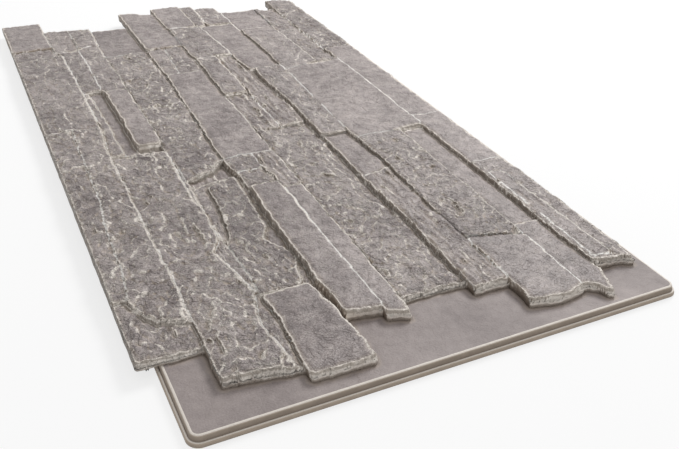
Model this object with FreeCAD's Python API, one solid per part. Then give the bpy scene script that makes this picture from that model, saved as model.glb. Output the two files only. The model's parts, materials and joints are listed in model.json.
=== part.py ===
"""Interlocking wall panel moulded in one piece as stacked slate strips.

Millimetres. The panel lies on its flat back: X runs across the strips, Y along
them and Z up out of the wall. The origin is the centre of the footprint on the
back plane. A thin lap flange sticks out at the near end and the right side; the
stones overhang the plate by the same amounts at the far end and the left side,
so the next panel's flange slides under them.
"""
import FreeCAD
import Part
import math
import os

from FreeCAD import Vector

# overall sizes
PANEL_WIDTH = 600.0
PANEL_LENGTH = 1182.0
SIDE_LAP = 20.0
END_LAP = 111.0
FLANGE_THICK = 11.5
RELIEF = 14.4
LAP_CLEARANCE = 0.5

# stepped rim of the flange plate
RIM_STEP_HEIGHT = 5.0
RIM_TREAD = 2.3
RIM_DRAFT = 1.1
RIM_EDGE = 0.8
CORNER_RADIUS = 14.0

# stone shaping
BED_RISE = 3.0
BED_SINK = 0.5
STONE_GAP = 1.2
SIDE_DRAFT = 0.6
WORN_EDGE = 0.8
WORN_DROP = 0.6
WORN_CORNER = 3.5
CORNER_SHARE = 0.25
MITRE_LIMIT = 0.25
WAVE = 1.1
LONG_WAVE = 31.0
SHORT_WAVE = 12.0
END_WAVE = 5.3
SIDE_POINT_STEP = 62.0
END_POINT_STEP = 12.0
END_MARGIN = 0.04
THIN_TIP = 9.0
CORNER_SPACING = 8.0
LAYER_INSET = 0.2
LAYER_ROOT = 1.0

# lower broken layer that shows under the near end of each strip
TOE_SHARE = 0.48
TOE_DEPTH = 9.0
TOE_SETBACK = 0.25

FIELD_WIDTH = PANEL_WIDTH - SIDE_LAP
END_PITCH = PANEL_LENGTH - END_LAP
RIM_INSET = 2.0 * RIM_DRAFT + RIM_TREAD
BED_TOP = FLANGE_THICK + BED_RISE

# The layout is drawn on a sheet whose size is read from the tables, then fitted to the panel.

# near end of each strip: right side of the strip, then the end line from left to right
NEAR_END = [
    (69, (111, 110, 109)),
    (152, (53, 50, 45, 41)),
    (223, (26, 24, 25)),
    (263, (98, 95, 91)),
    (289, (82, 76, 72)),
    (373, (99, 101, 97)),
    (418, (79, 81, 79)),
    (488, (37, 30, 29, 35)),
    (528, (37, 36, 31, 17, 14, 30, 57)),
    (580, (67, 65, 64, 56)),
]

# long joints between strips as (y, x) corners
JOINTS = {
    "left": [(0, 0), (1182, 0)],
    "a": [(150, 14), (207, 16), (261, 21), (356, 24), (430, 31), (560, 35), (660, 36)],
    "A": [(0, 69), (200, 71), (560, 73), (661, 81), (975, 81), (1000, 69)],
    "p": [(550, 97), (800, 91)],
    "q": [(550, 115), (800, 114)],
    "r": [(790, 113), (1000, 112), (1150, 112)],
    "b": [(25, 151), (64, 149), (93, 152), (108, 155), (126, 157), (142, 156), (166, 154)],
    "c": [(25, 221), (59, 219), (87, 215), (118, 216), (132, 211), (157, 206)],
    "f": [(45, 146), (93, 138), (124, 136), (140, 138), (176, 149), (240, 138), (266, 133), (296, 147), (549, 149)],
    "g": [(168, 153), (285, 153), (303, 161), (332, 163), (351, 168), (396, 170), (440, 170)],
    "h": [(168, 205), (194, 210), (224, 217), (250, 214), (262, 204), (275, 200), (300, 212), (440, 218)],
    "B": [(0, 152), (560, 151), (800, 152), (1000, 149), (1060, 152)],
    "C": [(0, 223), (150, 222), (180, 218), (430, 221), (500, 215), (700, 222), (820, 225), (1060, 223)],
    "D": [(0, 263), (400, 263), (486, 257), (820, 250), (945, 256)],
    "E": [(0, 289), (400, 292), (700, 290), (850, 293), (1060, 289)],
    "m": [(550, 330), (870, 331)],
    "F": [(0, 373), (560, 374), (784, 371), (790, 362), (900, 360), (1030, 352)],
    "t": [(1030, 347), (1150, 346)],
    "u": [(1030, 352), (1045, 373)],
    "G": [(0, 418), (300, 417), (400, 421), (500, 414), (780, 421), (900, 419), (1060, 418)],
    "H": [(0, 488), (470, 491), (760, 490), (950, 484), (1060, 488)],
    "I": [(0, 528), (100, 526), (300, 528), (700, 530), (830, 525), (1060, 528)],
    "v": [(0, 531), (300, 532)],
    "w": [(0, 563), (300, 556)],
    "right": [(0, 580)],
}

# a stone end that follows the interlocking profile of the panel's own end
PROFILE = ()

# stones: left joint, right joint, near end, far end, rise over the flange,
# rise gained towards the right, rise gained towards the far end
STONES = [
    ("left", "A", PROFILE, (661,), 9.5, 0.4, 0.0),
    ("left", "A", (661,), (980,), 10.0, -0.6, 0.4),
    ("left", "A", (980,), (1030,), 7.5, 0.0, 0.0),
    ("left", "A", (1028, 1031), PROFILE, 9.5, 0.3, -0.8),
    ("A", "B", PROFILE, (549,), 8.6, -0.4, -0.6),
    ("A", "p", (559,), (795,), 8.5, 0.0, 0.0),
    ("p", "q", (557,), (795,), 4.8, 0.0, 0.0),
    ("q", "B", (571, 568), (786,), 13.0, -0.8, -0.6),
    ("A", "r", (797,), (996,), 9.3, 0.5, 0.0),
    ("r", "B", (789,), (998, 1004), 10.2, -0.4, 0.0),
    ("A", "r", (998, 1003), PROFILE, 8.8, 0.5, -0.6),
    ("r", "B", (1003, 1008), (1068,), 10.6, 0.0, 0.0),
    ("r", "B", (1070,), PROFILE, 8.4, 0.0, -0.5),
    ("b", "c", PROFILE, (163, 165), 11.8, 0.8, 0.8),
    ("B", "C", (168, 170), (424, 436, 440), 5.4, -0.4, 0.0),
    ("B", "C", (449, 462, 492), (701,), 9.4, 0.5, 0.0),
    ("B", "C", (703,), (947,), 9.0, 0.6, 0.0),
    ("B", "C", (949,), PROFILE, 9.0, -0.5, -0.6),
    ("C", "D", PROFILE, (391, 396), 13.6, -0.6, 0.6),
    ("C", "D", (398,), (442,), 8.6, 0.0, 0.0),
    ("C", "D", (444,), (485,), 9.6, 0.0, 0.0),
    ("D", "E", PROFILE, (376,), 12.4, -0.9, -0.5),
    ("D", "E", (378,), (485,), 10.6, -0.8, 0.0),
    ("C", "E", (488,), (817,), 10.4, -0.5, 0.0),
    ("C", "D", (819,), (940, 946), 9.2, 0.0, 0.0),
    ("D", "E", (819,), (945,), 10.2, -0.6, 0.0),
    ("C", "E", (947,), PROFILE, 10.8, -0.9, -0.8),
    ("E", "F", PROFILE, (557,), 7.0, -0.4, -0.6),
    ("E", "m", (559,), (695,), 8.8, 0.0, 0.0),
    ("E", "m", (697,), (867,), 9.4, 0.0, 0.0),
    ("m", "F", (561,), (867,), 10.2, 0.0, 0.0),
    ("E", "F", (869,), (1040, 1028), 9.6, 0.0, 0.0),
    ("E", "t", (1042, 1036), PROFILE, 9.6, -0.4, -0.6),
    ("t", "u", (1032, 1044), PROFILE, 10.4, 0.0, -0.6),
    ("F", "G", PROFILE, (496,), 10.6, -0.8, 0.0),
    ("F", "G", (498,), (784,), 12.8, -0.6, 0.0),
    ("F", "G", (786,), (1028,), 10.6, -0.4, 0.0),
    ("u", "G", (1046, 1040), (1085,), 9.4, 0.0, 0.0),
    ("u", "G", (1087,), PROFILE, 9.0, 0.0, -0.5),
    ("G", "H", PROFILE, (170, 164, 150), 12.6, -0.6, 0.8),
    ("G", "H", (172, 166, 152), (467,), 13.2, -1.0, 0.6),
    ("G", "I", (472, 468, 474), (756, 764, 770), 14.4, -0.8, -0.4),
    ("G", "H", (758, 766, 776), (983,), 13.6, -0.9, -0.8),
    ("G", "H", (985,), PROFILE, 10.2, -0.5, -0.6),
    ("H", "I", PROFILE, (174,), 11.4, -0.9, 0.6),
    ("H", "I", (176,), (466,), 9.0, -0.5, 0.0),
    ("H", "I", (774,), (950,), 11.4, -0.6, 0.0),
    ("H", "I", (952,), PROFILE, 10.4, -0.4, -0.6),
    ("I", "right", PROFILE, (502,), 13.2, -1.4, 0.4),
    ("I", "right", (504,), (829,), 13.0, -1.2, 0.0),
    ("I", "right", (831,), PROFILE, 11.8, -1.0, -0.8),
]

# raised layers lying on a stone: the same columns, with the rise they start from
LAYERS = [
    ("a", "A", (205, 174, 159, 152, 149), (659,), 12.0, 0.4, 0.0, 8.6),
    ("A", "f", PROFILE, (547,), 10.2, -0.6, -0.6, 7.6),
    ("g", "h", (169, 171), (423, 435, 439), 7.6, -0.6, 0.0, 4.6),
    ("F", "G", PROFILE, (364, 374), 11.8, -0.8, 0.0, 9.6),
    ("v", "w", (72,), (300,), 14.4, -0.4, 0.0, 11.4),
]

SHEET_WIDTH = NEAR_END[-1][0]
SHEET_LAP = NEAR_END[0][1][0]
SHEET_LENGTH = JOINTS["left"][-1][0]
SCALE_X = FIELD_WIDTH / SHEET_WIDTH
SCALE_Y = PANEL_LENGTH / SHEET_LENGTH
SCALE_Z = RELIEF / max(row[4] for row in STONES + LAYERS)


def joint_x(name, y):
    """Sheet x of a long joint at sheet y, with a slow wave shared by both neighbours."""
    corners = JOINTS[name]
    x = corners[0][1] if y <= corners[0][0] else corners[-1][1]
    for (y0, x0), (y1, x1) in zip(corners, corners[1:]):
        if y0 <= y <= y1:
            x = x0 + (x1 - x0) * (y - y0) / (y1 - y0)
    if name in ("left", "right"):
        return x
    phase = 0.37 * corners[0][1]
    slow = math.sin(y / LONG_WAVE + phase)
    quick = math.sin(y / SHORT_WAVE + 2.0 * phase)
    return x + WAVE * (0.7 * slow + 0.4 * quick)


def profile_y(x):
    """Panel y of the near end profile at sheet x."""
    left = 0.0
    for right, line in NEAR_END:
        if x <= right:
            t = (x - left) / (right - left) * (len(line) - 1)
            k = min(int(t), len(line) - 2)
            y = line[k] + (line[k + 1] - line[k]) * (t - k)
            return y * END_LAP / SHEET_LAP
        left = right
    return line[-1] * END_LAP / SHEET_LAP


def strip_corners(x):
    """Number of stretches in the near end line of the strip at sheet x."""
    return next((len(line) - 1 for right, line in NEAR_END if x <= right), 1)


def end_points(left, right, line, is_far):
    """Points of one stone end from its left to its right side, in panel x and y."""
    at = (sum(line) / len(line)) if line else (SHEET_LENGTH if is_far else 0.0)
    x0 = joint_x(left, at)
    x1 = joint_x(right, at)
    count = max(1, int(round((x1 - x0) / END_POINT_STEP)))
    if not line:
        count = max(count, strip_corners(0.5 * (x0 + x1)))
    points = []
    for k in range(count + 1):
        t = k / count
        x = x0 + (x1 - x0) * t
        if line:
            s = t * (len(line) - 1)
            j = min(int(s), max(len(line) - 2, 0))
            y = line[j] + (line[min(j + 1, len(line) - 1)] - line[j]) * (s - j)
            y = (y + WAVE * math.sin(x / END_WAVE) * 4.0 * t * (1.0 - t)) * SCALE_Y
        else:
            margin = END_MARGIN * (x1 - x0)
            low, high = x0 + margin, x1 - margin
            inner = min(max(x, low), high)
            y = profile_y(inner)
            if is_far:
                around = (max(inner - THIN_TIP, low), min(inner + THIN_TIP, high))
                y = END_PITCH + min(y, *(profile_y(other) for other in around))
        points.append((x * SCALE_X, y))
    return points


def side_points(name, y0, y1):
    """Points strictly between two panel y along a long joint, its own corners among them."""
    count = max(1, int(round(abs(y1 - y0) / SIDE_POINT_STEP)))
    low, high = min(y0, y1) + CORNER_SPACING, max(y0, y1) - CORNER_SPACING
    ys = [y * SCALE_Y for y, x in JOINTS[name] if low < y * SCALE_Y < high]
    for k in range(1, count):
        y = y0 + (y1 - y0) * k / count
        if all(abs(y - other) > CORNER_SPACING for other in ys):
            ys.append(y)
    ys.sort(reverse=y1 < y0)
    return [(joint_x(name, y / SCALE_Y) * SCALE_X, y) for y in ys]


def worn_corners(points, corners):
    """Replaces each named corner by two points, as a broken-off tip."""
    out = []
    total = len(points)
    for k, (x, y) in enumerate(points):
        if k not in corners:
            out.append((x, y))
            continue
        for other in (points[k - 1], points[(k + 1) % total]):
            dx = other[0] - x
            dy = other[1] - y
            cut = min(WORN_CORNER / math.hypot(dx, dy), CORNER_SHARE)
            out.append((x + dx * cut, y + dy * cut))
    return out


def inset(points, distance):
    """Moves every side of a counter-clockwise outline inwards by the distance."""
    total = len(points)
    out = []
    for k, (x, y) in enumerate(points):
        px, py = points[k - 1]
        nx, ny = points[(k + 1) % total]
        ax, ay = x - px, y - py
        bx, by = nx - x, ny - y
        la = math.hypot(ax, ay)
        lb = math.hypot(bx, by)
        ax, ay, bx, by = ax / la, ay / la, bx / lb, by / lb
        mx, my = -(ay + by), ax + bx
        scale = distance / max(MITRE_LIMIT, my * ax - mx * ay)
        out.append((x + mx * scale, y + my * scale))
    return out


def stone_outline(left, right, near, far, gap):
    """Counter-clockwise outline of a stone from its two joints and two ends, less the gap."""
    front = end_points(left, right, near, False)
    back = end_points(left, right, far, True)
    right_side = side_points(right, front[-1][1], back[-1][1])
    left_side = side_points(left, back[0][1], front[0][1])
    ring = front + right_side + back[::-1] + left_side
    first_back = len(front) + len(right_side)
    corners = (0, len(front) - 1, first_back, first_back + len(back) - 1)
    return worn_corners(inset(ring, gap), corners)


def bed_outline():
    """Outline of the bed under all stones, with the jagged end repeated at the far end."""
    near = []
    left = 0.0
    for right, line in NEAR_END:
        for k, y in enumerate(line):
            x = left + (right - left) * k / (len(line) - 1)
            near.append((x * SCALE_X, y * END_LAP / SHEET_LAP))
        left = right
    far = [(x, y + END_PITCH) for x, y in near]
    return near + far[::-1]


def prism(rings):
    """Closed solid through rings of equally many points, flat at both ends."""
    faces = []
    for lower, upper in zip(rings, rings[1:]):
        total = len(lower)
        for k in range(total):
            a, b = lower[k], lower[(k + 1) % total]
            c, d = upper[(k + 1) % total], upper[k]
            for corner in ((a, b, c), (a, c, d)):
                faces.append(Part.Face(Part.makePolygon(list(corner) + [corner[0]])))
    for ring in (rings[0], rings[-1]):
        faces.append(Part.Face(Part.makePolygon(ring + [ring[0]])))
    solid = Part.makeSolid(Part.makeShell(faces))
    if solid.Volume < 0.0:
        solid.reverse()
    return solid


def level(points, z):
    return [Vector(x, y, z) for x, y in points]


def sloped(points, rise, slope_x, slope_y, drop):
    """Points lifted onto a gently tilted plane whose mean rise is given."""
    xs = [x for x, y in points]
    ys = [y for x, y in points]
    mid_x, half_x = 0.5 * (min(xs) + max(xs)), 0.5 * (max(xs) - min(xs))
    mid_y, half_y = 0.5 * (min(ys) + max(ys)), 0.5 * (max(ys) - min(ys))
    out = []
    for x, y in points:
        tilt = slope_x * (x - mid_x) / half_x + slope_y * (y - mid_y) / half_y
        out.append(Vector(x, y, FLANGE_THICK + (rise + 0.5 * tilt) * SCALE_Z - drop))
    return out


def stone(left, right, near, far, rise, slope_x, slope_y, foot_z, gap):
    """One stone with drafted walls and a worn upper edge."""
    outline = stone_outline(left, right, near, far, gap)
    shoulder = inset(outline, SIDE_DRAFT)
    crown = inset(shoulder, WORN_EDGE)
    rings = [
        level(outline, foot_z),
        sloped(shoulder, rise, slope_x, slope_y, WORN_DROP),
        sloped(crown, rise, slope_x, slope_y, 0.0),
    ]
    return prism(rings)


def toe(left, right, rise):
    """Lower broken layer under the near end of a strip, up to a share of the stone's rise."""
    front = end_points(left, right, PROFILE, False)
    back = [(x, y + TOE_DEPTH) for x, y in reversed(front)]
    outline = inset(front + back, TOE_SETBACK)
    top = FLANGE_THICK + TOE_SHARE * rise * SCALE_Z
    return prism([level(outline, BED_TOP - BED_SINK), level(outline, top)])


def rounded_rectangle(x0, y0, x1, y1, radius, z):
    """Closed wire with equal corner arcs."""
    s = radius * (1.0 - math.sqrt(0.5))
    arcs = [
        ((x1 - radius, y0), (x1 - s, y0 + s), (x1, y0 + radius)),
        ((x1, y1 - radius), (x1 - s, y1 - s), (x1 - radius, y1)),
        ((x0 + radius, y1), (x0 + s, y1 - s), (x0, y1 - radius)),
        ((x0, y0 + radius), (x0 + s, y0 + s), (x0 + radius, y0)),
    ]
    edges = []
    for k, arc in enumerate(arcs):
        points = [Vector(x, y, z) for x, y in arc]
        edges.append(Part.Arc(*points).toShape())
        following = arcs[(k + 1) % 4][0]
        edges.append(Part.makeLine(points[2], Vector(following[0], following[1], z)))
    return Part.Wire(edges)


def plate():
    """Flange plate with its two-step drafted rim."""
    x0, x1 = SIDE_LAP, PANEL_WIDTH
    y0, y1 = 0.0, END_PITCH

    def section(step, z):
        return rounded_rectangle(x0 + step, y0 + step, x1 - step, y1 - step, CORNER_RADIUS - step, z)

    tread = RIM_DRAFT + RIM_TREAD
    lower = Part.makeLoft([section(0.0, 0.0), section(RIM_DRAFT, RIM_STEP_HEIGHT)], True, True)
    upper = Part.makeLoft(
        [
            section(tread, 0.5 * RIM_STEP_HEIGHT),
            section(RIM_INSET, FLANGE_THICK - RIM_EDGE),
            section(RIM_INSET + RIM_EDGE, FLANGE_THICK),
        ],
        True,
        True,
    )
    return lower.fuse(upper)


def bed():
    """Bed slab under the stones, sunk into the plate and cleared for the neighbours' flanges."""
    outline = bed_outline()
    slab = prism([level(outline, FLANGE_THICK - BED_SINK), level(outline, BED_TOP)])
    margin = 5.0
    depth = BED_SINK + LAP_CLEARANCE
    side = Part.makeBox(
        SIDE_LAP + RIM_INSET + margin,
        PANEL_LENGTH + 2.0 * margin,
        depth,
        Vector(-margin, -margin, FLANGE_THICK - BED_SINK),
    )
    end = Part.makeBox(
        PANEL_WIDTH + 2.0 * margin,
        END_LAP + RIM_INSET + margin,
        depth,
        Vector(-margin, END_PITCH - RIM_INSET, FLANGE_THICK - BED_SINK),
    )
    return slab.cut(side.fuse(end))


def panel():
    stones = [stone(*row, BED_TOP - BED_SINK, 0.5 * STONE_GAP) for row in STONES]
    stones += [toe(row[0], row[1], row[4]) for row in STONES if row[2] == PROFILE]
    for row in LAYERS:
        foot = FLANGE_THICK + (row[7] - LAYER_ROOT) * SCALE_Z
        stones.append(stone(*row[:7], foot, 0.5 * STONE_GAP + LAYER_INSET))
    solid = plate().fuse([bed()] + stones)
    solid.translate(Vector(-0.5 * PANEL_WIDTH, -0.5 * PANEL_LENGTH, 0.0))
    return solid


shape = panel().removeSplitter()
if len(shape.Solids) != 1:
    raise RuntimeError("the panel must be one solid")
shape = shape.Solids[0]
os.makedirs("parts", exist_ok=True)
shape.exportStep("parts/stone_panel.step")
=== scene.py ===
"""Looks for a moulded stacked-stone wall panel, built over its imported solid.

The relief is a height map read off the solid's own top surface, in millimetres, then broken,
roughened and trimmed to under 200,000 triangles. The scene is in metres, and the panel stays
within a millimetre of the solid's box.
"""

import json
import math

import bpy
import numpy as np
from bpy.props import FloatProperty, FloatVectorProperty, IntProperty, PointerProperty
from mathutils import Matrix, Vector
from mathutils.bvhtree import BVHTree
from mathutils.geometry import delaunay_2d_cdt

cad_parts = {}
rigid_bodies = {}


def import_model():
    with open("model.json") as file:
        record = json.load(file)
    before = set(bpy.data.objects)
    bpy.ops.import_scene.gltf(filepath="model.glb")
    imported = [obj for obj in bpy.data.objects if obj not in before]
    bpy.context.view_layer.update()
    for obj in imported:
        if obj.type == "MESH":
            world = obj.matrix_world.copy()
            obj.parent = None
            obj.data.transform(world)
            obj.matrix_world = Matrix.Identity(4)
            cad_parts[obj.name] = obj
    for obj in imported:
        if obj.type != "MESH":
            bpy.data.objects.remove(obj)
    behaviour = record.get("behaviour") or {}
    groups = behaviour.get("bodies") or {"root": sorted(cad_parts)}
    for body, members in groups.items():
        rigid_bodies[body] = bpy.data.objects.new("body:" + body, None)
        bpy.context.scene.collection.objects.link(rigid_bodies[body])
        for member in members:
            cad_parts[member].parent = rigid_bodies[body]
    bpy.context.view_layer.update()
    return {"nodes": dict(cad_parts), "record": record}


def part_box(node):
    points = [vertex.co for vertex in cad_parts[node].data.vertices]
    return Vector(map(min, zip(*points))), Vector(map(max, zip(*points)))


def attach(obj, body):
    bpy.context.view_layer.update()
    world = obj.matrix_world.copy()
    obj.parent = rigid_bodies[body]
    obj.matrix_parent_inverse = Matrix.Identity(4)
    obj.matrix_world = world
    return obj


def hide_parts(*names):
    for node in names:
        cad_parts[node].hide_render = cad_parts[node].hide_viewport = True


bl_info = {
    "name": "Stacked Stone Wall Panel",
    "version": (1, 0, 0),
    "blender": (4, 5, 0),
    "location": "View3D > Sidebar > Stone Panel",
    "description": "Builds the relief, finish and studio of a moulded stacked-stone wall panel",
    "category": "Object",
}

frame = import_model()

MM = 0.001
NODE = "stone_panel"

# laps and bed of the solid, in millimetres
SIDE_LAP = 20.0
END_LAP = 111.0
BED_RISE = 3.0

# stones that stand out: kind, a spot on the stone in mm from the near left corner of the
# panel's box, and how light it is
STONES = [
    ("smooth", 185, 90, -0.6), ("smooth", 450, 100, 0.2), ("smooth", 470, 600, 0.0),
    ("smooth", 508, 100, 0.2), ("smooth", 570, 400, 0.6), ("smooth", 240, 250, 0.0),
    ("smooth", 185, 1030, -0.6), ("smooth", 450, 1050, -0.3), ("smooth", 250, 650, 0.2),
    ("smooth", 133, 680, 0.3), ("smooth", 106, 680, -0.8), ("smooth", 550, 700, 0.6),
    ("smooth", 316, 1100, 0.0), ("smooth", 250, 1060, -0.2), ("smooth", 35, 1100, 0.0),
    ("smooth", 390, 900, 0.2), ("smooth", 508, 300, 0.6), ("smooth", 276, 250, 0.2),
    ("smooth", 395, 440, 0.4), ("rough", 110, 300, 0.3), ("rough", 50, 300, -0.2),
    ("rough", 10, 300, -0.2), ("rough", 330, 300, 0.2), ("rough", 455, 300, 0.3),
    ("rough", 190, 300, -1.6), ("rough", 185, 580, 0.0), ("rough", 185, 800, 0.0),
    ("ridged", 547, 150, 0.4), ("ridged", 580, 150, 0.4), ("ridged", 276, 430, 0.2),
    ("ridged", 316, 620, 0.2), ("ridged", 350, 720, 0.2), ("ridged", 395, 200, 0.4),
    ("rough", 40, 130, 0.2),
]
# stones that change their look part way: x and y of a spot beyond, and the y where they change
SPLITS = [(547, 400, 335), (6, 400, 215)]
# how far the tops at these spots are moved up, in mm: x, y, rise
LIFTS = [
    (40, 130, -1.8), (6, 400, 1.3), (170, 1014, -1.0), (249, 1101, 1.5), (188, 800, -1.0),
    (240, 876, 1.5), (246, 700, 0.5), (187, 633, -1.0), (308, 1091, 4.0), (326, 1014, 3.0),
    (312, 801, 3.7), (393, 800, 1.2), (381, 621, 1.5), (346, 600, -1.2),
]
# what every point of the mesh knows of the relief around it, for the paint
SURFACE_MAPS = ("edge", "foot", "joint", "flake", "roof", "floor", "relief", "tone", "rough")
# how much of the cleft relief each kind of stone has; a stone that isn't listed gets a random
# share, and the bed between the stones has the last one
ROUGHNESS = {"smooth": 0.32, "rough": 1.0, "ridged": 0.55}
OTHER_ROUGHNESS = (0.6, 0.9)
BED_ROUGHNESS = 0.25

# studio, in metres: the camera was fitted to the photograph's view of the panel
FLOOR_REACH = 30.0
FLOOR_DROP = 0.0005
LAMP_PLACE = (1.7, 1.0, 1.9)
LAMP_AIM = (0.0, 0.1, 0.0)
LAMP_SIZE = 1.0
CAMERA_PLACE = (-0.393954, -1.126605, 0.575696)
CAMERA_FORWARD = (0.36905301, 0.76372823, -0.52964051)
CAMERA_UP = (0.213614, 0.484910, 0.848075)
PALE = (0.95, 0.95, 0.95)
WHITE = (1.0, 1.0, 1.0)

# grid of the height map, in millimetres past the box's near left and short of its far right
LEFT_MARGIN, NEAR_MARGIN, RIGHT_MARGIN, FAR_MARGIN = 3.0, 8.0, 13.0, 3.0

# how far the paint looks for an arris, a joint or a flake, and for the foot of a wall, in mm
EDGE_REACH, JOINT_REACH, FLAKE_REACH, FOOT_REACH = 8.0, 6.0, 6.0, 9.0

# steps in the surface, in millimetres: the least drop that is an arris, the least rise that is
# the foot of a wall, the most between two stones that meet in a plain joint, and the depth of
# the channel along a foot
ARRIS_DROP, FOOT_RISE, JOINT_STEP, CHANNEL_DEPTH = 1.3, 1.4, 2.0, 1.8

# broken tiers along a drop: how far a drop is felt and the least that breaks, then each tier's
# widest, its share of the drop, and its deepest, in millimetres
DROP_REACH, LEAST_DROP = 6.0, 2.2
UPPER_TIER = (4.0, 0.48, 5.0)
LOWER_TIER = (1.6, 0.72, 7.5)

# share of a cell that the stones cover at their outline, and the least area of a stone's flat
# top in square millimetres
INSIDE = 0.5
SMALLEST_STONE = 60.0

# foot of the stones' outer walls, in millimetres from the top of the flange: sunk in the plate,
# and above it where the stones overhang
FOOT_ON_PLATE, FOOT_IN_LAP = -0.3, 0.5

# points of the flange's top: spacing, how far from the stones, and clear of the rim, in mm
PLATE_SPACING, PLATE_REACH, PLATE_MARGIN = 3.0, 11.0, 11.0


class ReliefSettings(bpy.types.PropertyGroup):
    """How the stone relief is shaped."""

    step: FloatProperty(
        name="Grid Step", description="Spacing of the height map",
        default=1.0 * MM, unit="LENGTH",
    )
    warp: FloatProperty(
        name="Edge Wander", description="How far stone edges wander",
        default=1.5 * MM, unit="LENGTH",
    )
    rough: FloatProperty(
        name="Cleft Height", description="Relief of a rough stone",
        default=2.0 * MM, unit="LENGTH",
    )
    groove: FloatProperty(
        name="Joint Depth", description="Depth of a plain joint",
        default=0.9 * MM, unit="LENGTH",
    )
    triangles: IntProperty(
        name="Triangles", description="Most triangles in the relief",
        default=175000,
    )


class FinishSettings(bpy.types.PropertyGroup):
    """Paint colours of the panel, painted shade and highlight among them."""

    stone: FloatVectorProperty(
        name="Stone", description="Main stone colour",
        subtype="COLOR", size=3, default=(0.178, 0.147, 0.141),
    )
    light: FloatVectorProperty(
        name="Light Stone", description="Lighter stone colour",
        subtype="COLOR", size=3, default=(0.418, 0.360, 0.345),
    )
    pale: FloatVectorProperty(
        name="Worn Edge", description="Colour brushed on edges",
        subtype="COLOR", size=3, default=(0.80, 0.735, 0.665),
    )
    # pale joint line, partly a painted highlight
    bright: FloatVectorProperty(
        name="Joint Line", description="Colour brushed along joints",
        subtype="COLOR", size=3, default=(0.90, 0.87, 0.83),
    )
    # brown of the walls, also soiling and painted shade at the feet and in hollows
    brown_and_shade: FloatVectorProperty(
        name="Brown_and_Shade", description="Colour of walls and feet",
        subtype="COLOR", size=3, default=(0.50, 0.41, 0.325),
    )
    # painted shade on left-facing walls and at the foot of every wall
    gap: FloatVectorProperty(
        name="Shade", description="Colour of the darker left walls and the foot of every wall",
        subtype="COLOR", size=3, default=(0.110, 0.084, 0.066),
    )


class StageSettings(bpy.types.PropertyGroup):
    """Light and camera of the studio."""

    key: FloatProperty(
        name="Key Power", description="Power of the main lamp",
        default=48.0, unit="POWER",
    )
    fill: FloatProperty(
        name="Fill", description="Strength of the surrounding light",
        default=0.57,
    )
    lens: FloatProperty(
        name="Lens", description="Camera focal length in millimetres",
        default=44.78,
    )


def lattice_noise(x, y, size_x, size_y, seed):
    """Smooth gradient noise about zero, sampled at arrays of positions."""
    rng = np.random.default_rng(seed)
    angles = rng.random((256, 256)) * 2.0 * math.pi
    gx, gy = np.cos(angles), np.sin(angles)
    u, v = x / size_x + 64.37, y / size_y + 64.11
    i, j = np.floor(u).astype(int), np.floor(v).astype(int)
    fu, fv = u - i, v - j
    su, sv = fu * fu * fu * (fu * (fu * 6 - 15) + 10), fv * fv * fv * (fv * (fv * 6 - 15) + 10)

    def corner(di, dj):
        a, b = (i + di) & 255, (j + dj) & 255
        return gx[a, b] * (fu - di) + gy[a, b] * (fv - dj)

    low = corner(0, 0) + (corner(1, 0) - corner(0, 0)) * su
    high = corner(0, 1) + (corner(1, 1) - corner(0, 1)) * su
    return 1.6 * (low + (high - low) * sv)


def scoops(x, y, size_x, size_y, seed):
    """Shallow tilted scoops that meet in sharp ridges, about zero."""
    rng = np.random.default_rng(seed)
    px, py, level, tilt_x, tilt_y = rng.random((5, 256, 256))
    u, v = x / size_x + 64.0, y / size_y + 64.0
    i, j = np.floor(u).astype(int), np.floor(v).astype(int)
    deepest = np.full(x.shape, 9.0)
    for di in (-1, 0, 1):
        for dj in (-1, 0, 1):
            a, b = (i + di) & 255, (j + dj) & 255
            dx, dy = u - (i + di + px[a, b]), v - (j + dj + py[a, b])
            tilt = 1.1 * (tilt_x[a, b] - 0.5) * dx + 1.1 * (tilt_y[a, b] - 0.5) * dy
            deepest = np.minimum(deepest, 0.5 * level[a, b] + tilt + 1.1 * (dx * dx + dy * dy))
    return deepest - 0.35


def smooth_step(low, high, value):
    t = np.clip((value - low) / (high - low), 0.0, 1.0)
    return t * t * (3.0 - 2.0 * t)


def box_pass(values, radius, reduce):
    """Runs a reducing filter along both axes of a map."""
    for axis in (0, 1):
        padded = np.pad(values, [(radius, radius) if a == axis else (0, 0) for a in (0, 1)], mode="edge")
        count = values.shape[axis]
        out = None
        for k in range(2 * radius + 1):
            part = padded[k:k + count] if axis == 0 else padded[:, k:k + count]
            out = part.copy() if out is None else reduce(out, part)
        values = out
    return values


def highest(values, radius=1):
    return box_pass(values, radius, np.maximum)


def lowest(values, radius=1):
    return box_pass(values, radius, np.minimum)


def blur(values, radius, passes=2):
    for _ in range(passes):
        values = box_pass(values, radius, np.add) / (2 * radius + 1) ** 2
    return values


def distance_map(marked, reach, step):
    """Distance from every cell to the nearest marked cell, up to a reach."""
    out = np.where(marked, 0.0, reach)
    for _ in range(int(reach / step) + 1):
        straight = out.copy()
        for view, source in ((straight[1:], out[:-1]), (straight[:-1], out[1:])):
            np.minimum(view, source + step, out=view)
        for view, source in ((straight[:, 1:], out[:, :-1]), (straight[:, :-1], out[:, 1:])):
            np.minimum(view, source + step, out=view)
        diagonal = step * math.sqrt(2.0)
        for view, source in (
            (straight[1:, 1:], out[:-1, :-1]), (straight[:-1, :-1], out[1:, 1:]),
            (straight[1:, :-1], out[:-1, 1:]), (straight[:-1, 1:], out[1:, :-1]),
        ):
            np.minimum(view, source + diagonal, out=view)
        out = straight
    return out


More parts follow.
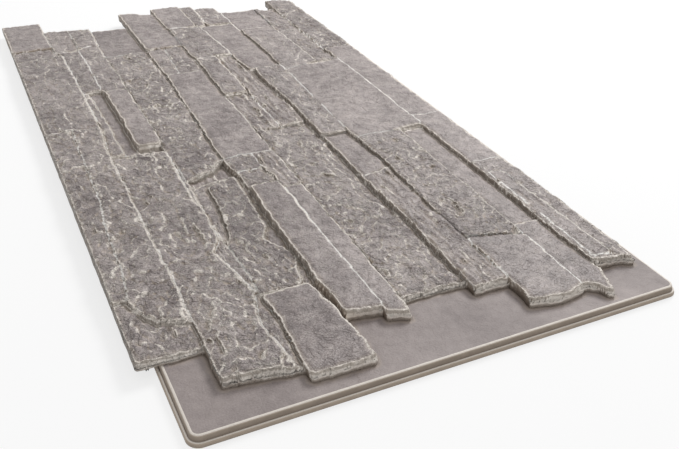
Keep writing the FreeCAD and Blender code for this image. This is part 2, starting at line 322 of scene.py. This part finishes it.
def bilinear(values, u, v):
    """Values of a map at fractional column u and row v."""
    rows, columns = values.shape
    u = np.clip(u, 0.0, columns - 1.001)
    v = np.clip(v, 0.0, rows - 1.001)
    i, j = u.astype(int), v.astype(int)
    fu, fv = u - i, v - j
    low = values[j, i] * (1 - fu) + values[j, i + 1] * fu
    high = values[j + 1, i] * (1 - fu) + values[j + 1, i + 1] * fu
    return low * (1 - fv) + high * fv


def label_regions(mask):
    """Numbers the connected regions of a mask from 1, with 0 elsewhere."""
    labels = np.where(mask, np.arange(1, mask.size + 1).reshape(mask.shape), 0)
    before = None
    while before is None or not np.array_equal(before, labels):
        before = labels.copy()
        for view in (labels, labels[::-1], labels.T, labels.T[::-1]):
            for previous, line in zip(view, view[1:]):
                np.maximum(line, previous, out=line, where=line > 0)
    return np.unique(labels, return_inverse=True)[1].reshape(mask.shape)


class HeightMap:
    """The relief of the stone field as maps on a regular grid, in millimetres."""

    def __init__(self, node, settings):
        self.step = settings.step / MM * 1.0
        low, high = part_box(NODE)
        self.low, self.high = [c / MM for c in low], [c / MM for c in high]
        self.xs = np.arange(self.low[0] - LEFT_MARGIN, self.high[0] - RIGHT_MARGIN, self.step)
        self.ys = np.arange(self.low[1] + NEAR_MARGIN, self.high[1] + FAR_MARGIN, self.step)
        self.x, self.y = np.meshgrid(self.xs, self.ys)
        mounts = {mount["name"]: mount for mount in frame["record"]["mounts"]}
        self.flange_top = mounts["end_lap"]["pos_m"][2] / MM
        self.bed_top = self.flange_top + BED_RISE
        self.sample(node)
        self.split_stones()
        self.break_edges()
        self.wander(settings)
        self.roughen(settings)
        self.measure()

    def spot(self, x, y):
        """Row and column of the cell at a place measured from the near left corner."""
        row = int(round((self.low[1] + y - self.ys[0]) / self.step))
        column = int(round((self.low[0] + x - self.xs[0]) / self.step))
        return row, column

    def cells(self, millimetres):
        return max(1, int(round(millimetres / self.step)))

    def sample(self, node):
        """Reads the solid's top surface straight down."""
        mesh = node.data
        tree = BVHTree.FromPolygons([v.co for v in mesh.vertices], [p.vertices for p in mesh.polygons])
        down = Vector((0.0, 0.0, -1.0))
        top = self.high[2] * MM + 0.01
        cast = tree.ray_cast
        self.solid = np.zeros(self.x.shape)
        for row, y in zip(self.solid, self.ys * MM):
            for i, x in enumerate(self.xs * MM):
                hit = cast(Vector((x, y, top)), down)[0]
                if hit is not None:
                    row[i] = hit.z / MM

    def split_stones(self):
        """Finds every stone's top plane and carries it out to the joints."""
        z = self.solid
        self.field = z > self.flange_top + 1.0
        flat = (z > self.bed_top + 1.2) & (highest(z) - lowest(z) < 0.2 * self.step)
        stones = label_regions(flat)
        area = np.bincount(stones.ravel()) * self.step ** 2
        stones = np.where(area[stones] < SMALLEST_STONE, 0, stones)
        stones = np.unique(stones, return_inverse=True)[1].reshape(z.shape)
        planes = [np.array([0.0, 0.0, self.bed_top])]
        for k in range(1, stones.max() + 1):
            here = stones == k
            rows = np.stack([self.x[here], self.y[here], np.ones(here.sum())], 1)
            planes.append(np.linalg.lstsq(rows, z[here], rcond=None)[0])
        for _ in range(self.cells(5.0)):
            stones = np.where((stones > 0) | ~self.field, stones, highest(stones))
        for sx, sy, length in SPLITS:
            near = (stones == stones[self.spot(sx, sy)]) & (self.y < self.low[1] + length)
            planes.append(planes[stones[self.spot(sx, sy)]].copy())
            stones = np.where(near, len(planes) - 1, stones)
        self.stones = stones
        for sx, sy, lift in LIFTS:
            planes[stones[self.spot(sx, sy)]] += np.array([0.0, 0.0, lift])
        a, b, c = np.array(planes)[stones].transpose(2, 0, 1)
        self.base = np.where(self.field, a * self.x + b * self.y + c, z)

    def break_edges(self):
        """Steps the stones down in broken layers near their drops, with tiers of wandering width."""
        base, field = self.base, self.field
        ground = np.where(field, base, self.flange_top)
        deepest = ground.copy()
        brink = np.full(base.shape, 99.0)
        for turn in range(1, self.cells(DROP_REACH) + 1):
            deepest = lowest(deepest)
            reached = (brink > 90.0) & (base - deepest > LEAST_DROP)
            brink = np.where(reached, (turn - 0.5) * self.step, brink)
        drop = base - deepest
        ahead = ground.copy()
        for _ in range(self.cells(5.0)):
            ahead[1:] = np.minimum(ahead[1:], ahead[:-1])
        facing = smooth_step(1.5, 3.5, base - ahead)
        along = lattice_noise(self.x, self.y, 30.0, 34.0, 41)
        local = lattice_noise(self.x, self.y, 8.0, 9.0, 42)
        widest, share, most = UPPER_TIER
        shelf = np.clip(0.1 + 2.3 * facing + 1.3 * along + 0.45 * local, 0.0, widest)
        cut = np.where(brink < shelf, np.minimum(share * drop, most), 0.0)
        widest, share, most = LOWER_TIER
        thin = np.clip(2.2 * lattice_noise(self.x, self.y, 26.0, 28.0, 43) - 0.2, 0.0, widest)
        cut = np.where((brink < thin) & (thin + 1.0 < shelf), np.minimum(share * drop, most), cut)
        self.ledge = (cut > 0.0).astype(float)
        self.base = base - cut

    def wander(self, settings):
        """Reads every map at a displaced place, so that edges and joints wander."""
        x, y = self.x, self.y
        shift_x = 0.5 * lattice_noise(x, y, 24.0, 30.0, 3) + 1.1 * scoops(x, y, 9.0, 12.0, 4)
        shift_y = 0.5 * lattice_noise(x, y, 20.0, 26.0, 6) + 0.8 * scoops(x, y, 9.0, 10.0, 7)
        side = 0.25 + 0.75 * smooth_step(4.0, 16.0, x - self.low[0])
        cells = settings.warp / MM / self.step
        columns = np.arange(x.shape[1])[None, :] + shift_x * cells * side
        rows = np.arange(x.shape[0])[:, None] + shift_y * cells
        self.inside = bilinear(blur(self.field.astype(float), 1, 1), columns, rows)
        j = np.clip(np.round(rows).astype(int), 0, x.shape[0] - 1)
        i = np.clip(np.round(columns).astype(int), 0, x.shape[1] - 1)
        self.stones = self.stones[j, i]
        self.height = bilinear(self.base, columns, rows)
        self.ledge = self.ledge[j, i]
        stones = self.stones
        level = self.base[j, i]
        across = np.abs(level[:, 1:] - level[:, :-1]) < JOINT_STEP
        across &= stones[:, 1:] != stones[:, :-1]
        along = np.abs(level[1:] - level[:-1]) < JOINT_STEP
        along &= stones[1:] != stones[:-1]
        self.seam = np.zeros(x.shape)
        self.seam[:, 1:] = across
        self.seam[1:] = np.maximum(self.seam[1:], along)

    def roughen(self, settings):
        """Adds each stone's own cleft relief."""
        x, y, stones = self.x, self.y, self.stones
        rng = np.random.default_rng(11)
        count = stones.max() + 1
        tone = 0.5 * rng.normal(0.0, 1.0, count)
        roughness = rng.uniform(*OTHER_ROUGHNESS, count)
        ridges = np.zeros(count)
        for kind, sx, sy, light in STONES:
            here = stones[self.spot(sx, sy)]
            roughness[here] = ROUGHNESS[kind]
            ridges[here] = float(kind == "ridged")
            tone[here] = light
        roughness[0] = BED_ROUGHNESS
        self.tone = tone[stones]
        self.rough = blur(roughness[stones], 1, 1)
        rough = self.rough * (1.0 - 0.7 * self.ledge)
        ridged = blur(ridges[stones], 1, 1) * (1.0 - 0.7 * self.ledge)
        bend_x = x + 3.0 * lattice_noise(x, y, 15.0, 18.0, 20) + 1.2 * lattice_noise(x, y, 5.0, 6.0, 32)
        bend_y = y + 4.0 * lattice_noise(x, y, 14.0, 18.0, 19) + 1.4 * lattice_noise(x, y, 5.0, 6.0, 33)
        cleft = 1.3 * scoops(bend_x, bend_y, 19.0, 28.0, 21) + 0.8 * scoops(bend_x, bend_y, 8.5, 12.0, 22)
        patch = 0.65 + 0.35 * smooth_step(-0.5, 0.5, lattice_noise(x, y, 45.0, 70.0, 24))
        level = 2.0 * lattice_noise(bend_x, bend_y, 34.0, 70.0, 25)
        level = level + 0.4 * lattice_noise(x, y, 8.0, 12.0, 26)
        steps = np.floor(level)
        flakes = steps + smooth_step(0.0, 0.1, level - steps)
        torn = (steps != np.roll(steps, 1, 0)) | (steps != np.roll(steps, 1, 1))
        grain = 1.5 * scoops(bend_x, y, 6.5, 75.0, 27) + 0.7 * scoops(bend_x, bend_y, 3.6, 32.0, 28)
        swell = lattice_noise(x, y, 52.0, 80.0, 30) + 0.4 * lattice_noise(x, y, 16.0, 24.0, 29)
        amount = settings.rough / MM
        cleft = patch * cleft + 0.6 * flakes * smooth_step(0.3, 0.7, rough)
        height = self.height + amount * rough * cleft
        height = height + amount * ridged * grain + 0.4 * swell
        height = height - settings.groove / MM * self.seam
        self.flake = distance_map(torn & (rough > 0.5) & (ridged < 0.5), FLAKE_REACH, self.step)
        self.height = np.minimum(height, self.high[2] - 0.1)

    def measure(self):
        """Finds the arrises and feet that the paint follows."""
        ground = np.where(self.inside >= INSIDE, self.height, self.flange_top)
        self.edge = distance_map(ground - lowest(ground) > ARRIS_DROP, EDGE_REACH, self.step)
        # joints that get the pale line, which is worn paint and partly a painted highlight
        worn = lattice_noise(self.x, self.y, 40.0, 60.0, 35) > -0.5
        self.joint = distance_map((self.seam > 0) & worn, JOINT_REACH, self.step)
        rise = np.zeros(ground.shape)
        rise[:, :-1] = ground[:, 1:] - ground[:, :-1]
        rise[:-1] = np.maximum(rise[:-1], ground[1:] - ground[:-1])
        self.foot = distance_map(rise > FOOT_RISE, FOOT_REACH, self.step)
        channel = CHANNEL_DEPTH * smooth_step(6.5, 1.0, self.foot) * (self.edge > 1.0)
        self.height = np.maximum(self.height - channel, np.minimum(self.height, self.flange_top + 1.2))
        self.roof = highest(ground, self.cells(3.0))
        self.floor = lowest(ground, self.cells(3.0))
        self.relief = ground - blur(ground, self.cells(2.0))
        self.relief = np.where((self.edge > 2.0) & (self.foot > 2.0), self.relief, 0.0)
        excess = np.maximum(0.0, self.height - blur(self.height, 1, 1))
        self.height = self.height - 0.3 * excess


def field_mesh(maps):
    """Closed mesh of the stone field: height map, outer walls and a flat underside."""
    inside = maps.inside >= INSIDE
    cell = inside[:-1, :-1] & inside[1:, :-1] & inside[:-1, 1:] & inside[1:, 1:]
    around = np.zeros(maps.x.shape, int)
    for dj in (0, 1):
        for di in (0, 1):
            around[dj:dj + cell.shape[0], di:di + cell.shape[1]] += cell
    used = around > 0
    index = np.where(used, np.cumsum(used).reshape(used.shape) - 1, -1)

    # rim vertices slide onto the smooth outline
    rim = used & (around < 4)
    gy, gx = np.gradient(maps.inside, maps.step)
    shift = (INSIDE - maps.inside) / np.maximum(gx * gx + gy * gy, 1e-3)
    dx, dy = shift * gx, shift * gy
    limit = np.minimum(1.0, 0.9 * maps.step / np.maximum(np.hypot(dx, dy), 1e-9))
    x = np.where(rim, maps.x + dx * limit, maps.x)
    y = np.where(rim, maps.y + dy * limit, maps.y)

    j, i = np.nonzero(cell)
    quads = np.stack([index[j, i], index[j, i + 1], index[j + 1, i + 1], index[j + 1, i]], 1)
    top = np.stack([x[used], y[used], maps.height[used]], 1)

    # walls hang from every quad side that belongs to one quad only
    sides = [tuple(side) for k in range(4) for side in quads[:, [k, (k + 1) % 4]].tolist()]
    known = set(sides)
    following = {a: b for a, b in sides if (b, a) not in known}
    loops, seen = [], set()
    for start in following:
        if start in seen:
            continue
        loop = [start]
        seen.add(start)
        while following[loop[-1]] != start:
            loop.append(following[loop[-1]])
            seen.add(loop[-1])
        loops.append(loop)
    ring = np.array(max(loops, key=len))
    over_plate = top[ring, 0] > maps.low[0] + SIDE_LAP + 5.0
    over_plate &= top[ring, 1] < maps.high[1] - END_LAP - 5.0
    # a smoothed foot line keeps the outline of the underside from crossing itself
    foot = top[ring].copy()
    for _ in range(6):
        foot[:, :2] = 0.5 * foot[:, :2] + 0.25 * (np.roll(foot, 1, 0) + np.roll(foot, -1, 0))[:, :2]
    foot[:, 2] = maps.flange_top + np.where(over_plate, FOOT_ON_PLATE, FOOT_IN_LAP)
    points = [top, 0.5 * (top[ring] + foot), foot]
    rings = [ring, len(top) + np.arange(len(ring)), len(top) + len(ring) + np.arange(len(ring))]
    faces = quads.tolist()
    for upper, below in zip(rings, rings[1:]):
        faces += np.stack([np.roll(upper, -1), upper, below, np.roll(below, -1)], 1).tolist()
    faces.append(rings[-1][::-1].tolist())
    return np.concatenate(points) * MM, faces


# corners of the plate and the points around it, in millimetres
RIM_RADIUS = 14.0
RIM_SPACING = 9.0
CORNER_POINTS = 9
# rim of the plate from the underside to the flange: inset, height, distance from a worn edge
# and distance from a corner that is soiled and painted in shade, in millimetres
RIM = [
    (0.7, 0.0, 8.0, 1.5), (0.1, 0.3, 3.0, 1.0), (0.1, 1.2, 3.0, 1.5), (0.9, 3.9, 1.6, 2.5),
    (1.2, 4.6, 0.5, 8.0), (1.9, 5.0, 0.0, 8.0), (2.7, 4.9, 1.2, 1.5), (3.4, 4.7, 8.0, 0.0),
    (3.7, 5.4, 8.0, 0.0), (4.3, 9.9, 2.5, 1.0), (4.7, 10.9, 0.4, 8.0), (5.4, 11.4, 0.0, 8.0),
    (6.8, 11.5, 1.0, 8.0), (9.0, 11.5, 8.0, 8.0),
]


def rounded_ring(x0, y0, x1, y1, radius, inset):
    """Counter-clockwise points of a rounded rectangle, the same number for every inset."""
    across, along = int((x1 - x0) / RIM_SPACING), int((y1 - y0) / RIM_SPACING)
    corners = [
        (x1, y0, -1, 1, -90, along), (x1, y1, -1, -1, 0, across),
        (x0, y1, 1, -1, 90, along), (x0, y0, 1, 1, 180, across),
    ]
    arcs = []
    for cx, cy, sx, sy, start, _ in corners:
        angles = np.radians(start + np.linspace(0.0, 90.0, CORNER_POINTS))
        centre = np.array([cx + sx * radius, cy + sy * radius])
        arcs.append(centre + (radius - inset) * np.stack([np.cos(angles), np.sin(angles)], 1))
    out = []
    for k, arc in enumerate(arcs):
        share = np.arange(1, corners[k][5])[:, None] / corners[k][5]
        out += [arc, arc[-1] + (arcs[(k + 1) % 4][0] - arc[-1]) * share]
    return np.concatenate(out)


def plate_mesh(maps):
    """Flange plate: its two-step rim as rings, and a flat top that knows how near stones are."""
    box = (maps.low[0] + SIDE_LAP, maps.low[1], maps.high[0], maps.high[1] - END_LAP)
    points, faces, edge, foot = [], [], [], []
    for inset, z, edge_distance, foot_distance in RIM:
        ring = rounded_ring(*box, RIM_RADIUS, inset)
        width, base = len(ring), len(points) * len(ring)
        points.append(np.column_stack([ring, np.full(width, z)]))
        edge += [edge_distance] * width
        foot += [foot_distance] * width
        if base:
            k = base + np.arange(width)
            n = base + (np.arange(width) + 1) % width
            faces += np.stack([k - width, n - width, n, k], 1).tolist()
    faces.append(list(range(width))[::-1])
    points = np.concatenate(points)

    # the flat top, with points near the stones so that the soiling and painted shade at their feet can
    # fade
    under = maps.inside >= INSIDE
    near = distance_map(under, PLATE_REACH + 1.0, maps.step)
    deep = lowest(under.astype(float), maps.cells(4.0)) > 0.5
    pick = np.zeros(near.shape, bool)
    pick[::maps.cells(PLATE_SPACING), ::maps.cells(PLATE_SPACING)] = True
    pick &= (near < PLATE_REACH) & ~deep
    pick &= (maps.x > box[0] + PLATE_MARGIN) & (maps.x < box[2] - PLATE_MARGIN)
    pick &= (maps.y > box[1] + PLATE_MARGIN) & (maps.y < box[3] - PLATE_MARGIN)
    inner = np.arange(len(points) - width, len(points))
    flat = np.concatenate([points[inner, :2], np.stack([maps.x[pick], maps.y[pick]], 1)])
    loop = [(k, (k + 1) % width) for k in range(width)]
    flat = [Vector(p) for p in flat.tolist()]
    places, _, triangles, origin, _, _ = delaunay_2d_cdt(flat, loop, [], 1, 1e-6)
    start = len(points)
    index = [inner[o[0]] if o and o[0] < width else start + k for k, o in enumerate(origin)]
    points = np.concatenate([points, [(p.x, p.y, maps.flange_top) for p in places]])
    faces += [[int(index[v]) for v in triangle] for triangle in triangles]
    u = (points[start:, 0] - maps.xs[0]) / maps.step
    v = (points[start:, 1] - maps.ys[0]) / maps.step
    edge += [EDGE_REACH] * len(places)
    foot += np.minimum(bilinear(near, u, v), EDGE_REACH).tolist()
    return points * MM, faces, np.array(edge), np.array(foot)


def feed(tree, slot, value):
    """Links a shader value to a socket, or writes a plain value on it."""
    if isinstance(value, Value):
        tree.links.new(value.socket, slot)
    elif slot.type == "RGBA":
        slot.default_value = (*value[:3], 1.0)
    else:
        slot.default_value = value


def plain(name):
    """A socket's name as a Python word."""
    return name.replace(" ", "_").lower()


class Value:
    """A shader socket that reads as arithmetic."""

    def __init__(self, tree, socket):
        self.tree, self.socket = tree, socket

    def math(self, operation, other=0.0, swap=False):
        node = self.tree.nodes.new("ShaderNodeMath")
        node.operation = operation
        for slot, value in zip(node.inputs, [other, self] if swap else [self, other]):
            feed(self.tree, slot, value)
        return Value(self.tree, node.outputs[0])

    def __add__(self, other):
        return self.math("ADD", other)

    def __radd__(self, other):
        return self.math("ADD", other)

    def __sub__(self, other):
        return self.math("SUBTRACT", other)

    def __rsub__(self, other):
        return self.math("SUBTRACT", other, swap=True)

    def __mul__(self, other):
        return self.math("MULTIPLY", other)

    def __rmul__(self, other):
        return self.math("MULTIPLY", other)

    def __truediv__(self, other):
        return self.math("DIVIDE", other)

    def clamp(self):
        node = self.tree.nodes.new("ShaderNodeClamp")
        self.tree.links.new(self.socket, node.inputs[0])
        return Value(self.tree, node.outputs[0])


class Graph:
    """A node tree built from Python expressions."""

    def __init__(self, tree):
        self.tree = tree
        tree.nodes.clear()

    def node(self, kind, settings=None, **values):
        """Adds a node: its settings first, then its values and links. Gives its outputs by name."""
        node = self.tree.nodes.new(kind)
        for key, value in (settings or {}).items():
            setattr(node, key, value)
        for key, value in values.items():
            feed(self.tree, next(s for s in node.inputs if s.enabled and plain(s.name) == key), value)
        return {plain(s.name): Value(self.tree, s) for s in node.outputs if s.enabled}

    def joined(self, kind, settings, *values):
        """Adds a node whose sockets share names, and gives its one output."""
        node = self.tree.nodes.new(kind)
        for key, value in settings.items():
            setattr(node, key, value)
        for slot, value in zip([s for s in node.inputs if s.enabled], values):
            feed(self.tree, slot, value)
        return Value(self.tree, next(s for s in node.outputs if s.enabled))

    def mix(self, factor, a, b):
        """Mixes two colours."""
        return self.joined("ShaderNodeMix", {"data_type": "RGBA"}, factor, a, b)

    def blend(self, factor, first, second):
        """Mixes two shaders."""
        return self.joined("ShaderNodeMixShader", {}, factor, first, second)

    def vector(self, operation, *values):
        """A Vector Math node; gives its vector, or its value for a length."""
        return self.joined("ShaderNodeVectorMath", {"operation": operation}, *values)

    def attribute(self, name):
        return self.node("ShaderNodeAttribute", {"attribute_name": name})["fac"]

    def seen(self):
        """One where the background is looked at, straight or through a reflection."""
        rays = self.node("ShaderNodeLightPath")
        return (rays["is_camera_ray"] + rays["is_glossy_ray"] + rays["is_transmission_ray"]).clamp()


def new_material(name):
    """An empty material and the graph to build it with."""
    material = bpy.data.materials.new(name)
    material.use_nodes = True
    return material, Graph(material.node_tree)


def painted_stone(settings):
    """Matt stone paint: mottled grey, brown walls and joints, pale brushed edges; painted shade at feet,
    in hollows and on left walls, painted light on near walls and joints.
    """
    material, m = new_material("painted_stone")
    place = m.node("ShaderNodeTexCoord")["object"]
    edge, foot, joint, flake = (m.attribute(name) for name in ("edge", "foot", "joint", "flake"))
    relief, tone, rough = (m.attribute(name) for name in ("relief", "tone", "rough"))
    roof, floor = m.attribute("roof"), m.attribute("floor")

    def noise(scale, detail=3.0, roughness=0.5, distortion=0.0, where=place):
        return m.node(
            "ShaderNodeTexNoise", None,
            vector=where, scale=scale, detail=detail, roughness=roughness, distortion=distortion,
        )["fac"]

    def patches(scale, least, sharpness, detail=1.0):
        """One in patches where a noise is over its least value, and nothing between them."""
        return ((noise(scale, detail) - least) * sharpness).clamp()

    def broken(scale, levels, seed):
        """Layered slate, as noise cut in steps. Gives its height and each step's lip and foot."""
        offset = m.vector("ADD", place, (seed, seed, 0.0))
        level = noise(scale, 3.0, 0.55, 0.6, offset) * levels
        step = level.math("FLOOR")
        part = level - step
        height = step + (part * 8.0).clamp() * 0.7 + part * 0.3
        return height, (1.3 - part * 9.0).clamp(), (part * 8.0 - 7.0).clamp()

    cloud, mottle, speck = noise(9.0), noise(70.0), noise(520.0, 2.0)
    coarse, coarse_lip, coarse_foot = broken(38.0, 7.0, 0.0)
    fine, fine_lip, fine_foot = broken(105.0, 6.0, 3.7)
    tiny, tiny_lip, tiny_foot = broken(240.0, 5.0, 9.1)
    ragged = mottle - 0.5

    # grey of the tops, lighter on what stands up, and darker in hollows and along the feet of the layers
    # as painted shade
    uneven = (rough * 2.0 + 0.3).clamp()
    shade = (cloud - 0.5) * 1.4 + (ragged * 2.0 + (speck - 0.5) * 2.2) * uneven + tone * 0.14 + 0.47
    # painted shade at the foot of each step of the layered bump
    layer_foot_shade = coarse_foot * 0.4 + fine_foot * 0.28 + tiny_foot * 0.15
    shade = shade + relief * 0.6 - layer_foot_shade * rough
    colour = m.mix(shade.clamp(), settings.stone, settings.light)

    # which way the surface faces, and how high up its wall a point is
    normal = m.node("ShaderNodeNewGeometry")["true_normal"]
    normal = m.node("ShaderNodeSeparateXYZ", None, vector=normal)
    wall = (1.9 - normal["z"] * 2.4).clamp()
    left = (normal["x"] * -1.4).clamp()
    near = (normal["y"] * -1.6 - 0.1).clamp()
    tall = ((roof - floor) * 0.5 - 1.5).clamp()
    above = m.node("ShaderNodeSeparateXYZ", None, vector=place)["z"] * (1.0 / MM) - floor
    level = above / (roof - floor + 0.01) + ragged * 0.35

    # brown on the walls, and brown soiling with painted shade near their feet and in hollows
    foot_soil_shade = (1.1 - foot * 0.17 + ragged * 0.9).clamp()
    sunk = (relief * -1.8 + ragged * 1.2 - 0.1).clamp()
    brown_shade_amount = (wall * 0.9 + foot_soil_shade * 0.5 + sunk * rough * 0.7).clamp()
    colour = m.mix(brown_shade_amount, colour, settings.brown_and_shade)
    # painted shade: dark at the foot of every wall, and on left-facing walls and the low part of every
    # wall, less where they face near
    at_foot = (1.1 - foot * 0.33 + ragged * 0.8).clamp() * 0.62
    colour = m.mix(at_foot, colour, settings.gap)
    dark = (left * 1.2 + (0.22 - level) * 1.6).clamp() * (0.7 - near * 0.3)
    colour = m.mix(wall * dark, colour, settings.gap)

    # pale paint brushed on arrises, flakes, lips of the layers and the near walls' ledges, and a painted
    # light on the near-facing walls
    line = (2.1 - edge * 0.95 + ragged * 1.8).clamp() * (1.0 - wall)
    some = patches(24.0, 0.45, 9.0, 2.0)
    torn = (1.0 - flake * 1.1 + ragged * 2.4).clamp() * some
    crest = (relief * 1.6 + ragged * 1.6 - 0.4).clamp() * 0.4
    stroke = coarse_lip * some * 0.5 + fine_lip * patches(47.0, 0.45, 8.0)
    stroke = stroke + tiny_lip * patches(66.0, 0.47, 8.0)
    brushed = (line + torn + (crest + stroke * 1.3) * rough * (1.0 - wall)).clamp()
    ledge = (1.5 - (level - 0.48).math("ABSOLUTE") * 8.0).clamp() * tall * wall * near
    # part of the pale colour over tall near-facing walls is painted light
    colour = m.mix((brushed + ledge + wall * near * tall * 0.4).clamp(), colour, settings.pale)

    # paler paint along the plain joints, partly a painted highlight along their edges
    seam = (1.5 - joint * 1.1 + ragged * 1.8).clamp()
    colour = m.mix(seam * (1.0 - wall), colour, settings.bright)

    layers = (coarse * 2.6 + fine * 1.9 + tiny * 0.9) * (0.06 + rough * 0.94)
    height = (layers + (mottle * 1.8 + speck * 0.5) * uneven) * (1.0 - wall * 0.6)
    bump = m.node("ShaderNodeBump", None, strength=1.0, distance=1.0 * MM, height=height)["normal"]
    gloss = 0.56 - uneven * 0.18 + speck * 0.2
    shader = m.node("ShaderNodeBsdfPrincipled", None, base_color=colour, roughness=gloss, normal=bump)
    m.node("ShaderNodeOutputMaterial", None, surface=shader["bsdf"])
    return material


def pale_floor():
    """Pale floor that keeps a soft shadow near the panel and is white further out."""
    material, m = new_material("pale_floor")
    lit = m.node("ShaderNodeBsdfPrincipled", None, base_color=PALE, roughness=0.9)["bsdf"]
    white = m.node("ShaderNodeEmission", None, color=WHITE, strength=1.0)["emission"]
    away = (m.vector("LENGTH", m.node("ShaderNodeTexCoord")["object"]) - 0.9).clamp()
    surface = m.blend(m.seen() * (0.72 + away * 0.28), lit, white)
    m.node("ShaderNodeOutputMaterial", None, surface=surface)
    return material


def mesh_object(name, points, faces):
    mesh = bpy.data.meshes.new(name)
    mesh.from_pydata(np.asarray(points).tolist(), [], faces)
    mesh.update()
    obj = bpy.data.objects.new(name, mesh)
    bpy.context.scene.collection.objects.link(obj)
    return obj


def set_attribute(mesh, name, values):
    layer = mesh.attributes.new(name, "FLOAT", "POINT")
    layer.data.foreach_set("value", np.asarray(values, dtype=np.float32))


def thin_out(obj, triangles):
    """Collapses the mesh to the wanted number of triangles."""
    count = sum(len(p.vertices) - 2 for p in obj.data.polygons)
    modifier = obj.modifiers.new("thin_out", "DECIMATE")
    modifier.ratio = min(1.0, triangles / count)
    graph = bpy.context.evaluated_depsgraph_get()
    mesh = bpy.data.meshes.new_from_object(obj.evaluated_get(graph))
    obj.modifiers.clear()
    obj.data = mesh


class OBJECT_OT_stone_panel(bpy.types.Operator):
    """Build the panel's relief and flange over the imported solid"""

    bl_idname = "object.stone_panel"
    bl_label = "Build Stone Panel"

    def execute(self, context):
        settings = context.scene.stone_relief
        node = frame["nodes"][NODE]
        maps = HeightMap(node, settings)
        relief = mesh_object("stone_relief", *field_mesh(maps))
        thin_out(relief, settings.triangles)
        co = np.empty(len(relief.data.vertices) * 3, dtype=np.float32)
        relief.data.vertices.foreach_get("co", co)
        co = co.reshape(-1, 3) / MM
        u = (co[:, 0] - maps.xs[0]) / maps.step
        v = (co[:, 1] - maps.ys[0]) / maps.step
        for name in SURFACE_MAPS:
            set_attribute(relief.data, name, bilinear(getattr(maps, name), u, v))
        points, faces, edge, foot = plate_mesh(maps)
        plate = mesh_object("flange_plate", points, faces)
        none = np.zeros(len(edge))
        known = {"edge": edge, "foot": foot, "joint": none + JOINT_REACH, "flake": none + FLAKE_REACH}
        for name in SURFACE_MAPS:
            set_attribute(plate.data, name, known.get(name, none))
        material = painted_stone(context.scene.stone_finish)
        for obj in (relief, plate):
            obj.data.materials.append(material)
            obj.data.polygons.foreach_set("use_smooth", [True] * len(obj.data.polygons))
        for obj in context.view_layer.objects:
            obj.select_set(obj in (relief, plate))
        context.view_layer.objects.active = relief
        bpy.ops.object.join()
        relief.name = "moulded_panel"
        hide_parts(NODE)
        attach(relief, "root")
        return {"FINISHED"}


def aimed(place, forward, up):
    """Where a lamp or camera stands, looking forward with its top towards up."""
    z = -Vector(forward).normalized()
    x = Vector(up).cross(z).normalized()
    rotation = Matrix((x, z.cross(x), z)).transposed().to_4x4()
    return Matrix.Translation(place) @ rotation


class OBJECT_OT_stone_panel_stage(bpy.types.Operator):
    """Set up the floor, lamps and camera"""

    bl_idname = "object.stone_panel_stage"
    bl_label = "Set Up Studio"

    def execute(self, context):
        settings = context.scene.stone_stage
        scene = context.scene
        scene.view_settings.view_transform = "Standard"
        r, z = FLOOR_REACH, -FLOOR_DROP
        corners = [(-r, -r, z), (r, -r, z), (r, r, z), (-r, r, z)]
        floor = mesh_object("floor", corners, [(0, 1, 2, 3)])
        floor.data.materials.append(pale_floor())

        world = bpy.data.worlds.new("studio")
        scene.world = world
        world.use_nodes = True
        w = Graph(world.node_tree)
        strength = settings.fill + w.seen() * (1.0 - settings.fill)
        light = w.node("ShaderNodeBackground", None, color=WHITE, strength=strength)
        w.node("ShaderNodeOutputWorld", None, surface=light["background"])

        lamp = bpy.data.lights.new("key", "AREA")
        lamp.shape = "DISK"
        lamp.size = LAMP_SIZE
        lamp.energy = settings.key
        key = bpy.data.objects.new("key", lamp)
        scene.collection.objects.link(key)
        key.matrix_world = aimed(LAMP_PLACE, Vector(LAMP_AIM) - Vector(LAMP_PLACE), (0.0, 0.0, 1.0))

        camera = bpy.data.cameras.new("camera")
        camera.lens = settings.lens
        camera.sensor_width = 36.0
        camera.clip_start = 0.01
        obj = bpy.data.objects.new("camera", camera)
        scene.collection.objects.link(obj)
        obj.matrix_world = aimed(CAMERA_PLACE, CAMERA_FORWARD, CAMERA_UP)
        scene.camera = obj
        return {"FINISHED"}


class VIEW3D_PT_stone_panel(bpy.types.Panel):
    """Sidebar panel that lists the building steps"""

    bl_label = "Stone Panel"
    bl_idname = "VIEW3D_PT_stone_panel"
    bl_space_type = "VIEW_3D"
    bl_region_type = "UI"
    bl_category = "Stone Panel"

    def draw(self, context):
        for operator in OPERATORS:
            self.layout.operator(operator.bl_idname)


SETTINGS = {
    "stone_relief": ReliefSettings,
    "stone_finish": FinishSettings,
    "stone_stage": StageSettings,
}
OPERATORS = (OBJECT_OT_stone_panel, OBJECT_OT_stone_panel_stage)
CLASSES = (*SETTINGS.values(), *OPERATORS, VIEW3D_PT_stone_panel)


def register():
    for cls in CLASSES:
        bpy.utils.register_class(cls)
    for name, group in SETTINGS.items():
        setattr(bpy.types.Scene, name, PointerProperty(type=group))


def unregister():
    for name in SETTINGS:
        delattr(bpy.types.Scene, name)
    for cls in reversed(CLASSES):
        bpy.utils.unregister_class(cls)


def main():
    register()
    bpy.ops.object.stone_panel()
    bpy.ops.object.stone_panel_stage()


if __name__ == "__main__":
    main()
